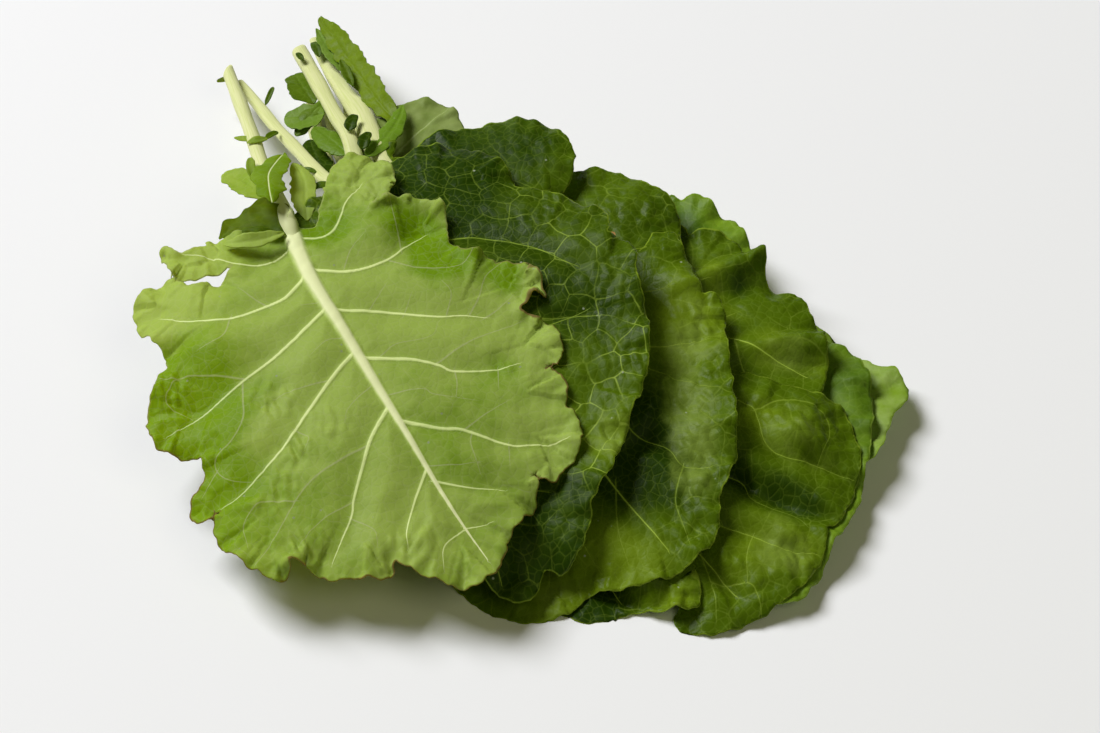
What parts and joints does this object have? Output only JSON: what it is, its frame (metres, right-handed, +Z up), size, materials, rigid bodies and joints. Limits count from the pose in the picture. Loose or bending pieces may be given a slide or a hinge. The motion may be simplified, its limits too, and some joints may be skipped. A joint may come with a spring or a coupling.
{
  "type": "collard greens bunch",
  "caption": "Bunch of fresh collard leaves lying flat in a fan, the top one with its pale ribbed underside up, the stalks gathered at one end.",
  "frame": {"origin": "middle of the bunch's box in plan, on the surface that it lies on", "axes": "+Z up, the stalks' cut ends towards -X +Y, the leaf tips fanned towards -Y and +X"},
  "size_m": [0.389, 0.3987, 0.0669],
  "materials": {
    "pale_underside": "matt light yellow-green leaf underside with raised cream veins and a thin purple margin",
    "dark_blade": "waxy dark green leaf top with pale netted veins and a thin pale margin",
    "grey_blade": "waxy grey-green leaf top with a matt bloom",
    "light_blade": "waxy light green leaf top with pale veins"
  },
  "bodies": {
    "root": {"leaf_01_pale_top": "pale_underside", "leaf_02_dark_front": "dark_blade", "leaf_03_upper_back": "dark_blade", "leaf_04_middle": "dark_blade", "leaf_05_grey_back": "grey_blade", "leaf_06_behind_middle": "dark_blade", "leaf_07_curled_tip": "dark_blade", "leaf_08_quilted": "dark_blade", "leaf_09_pleated": "dark_blade", "leaf_10_light_back": "light_blade", "leaf_11_light_right": "light_blade", "leaf_12_outer_right": "light_blade"}
  },
  "joints": []
}
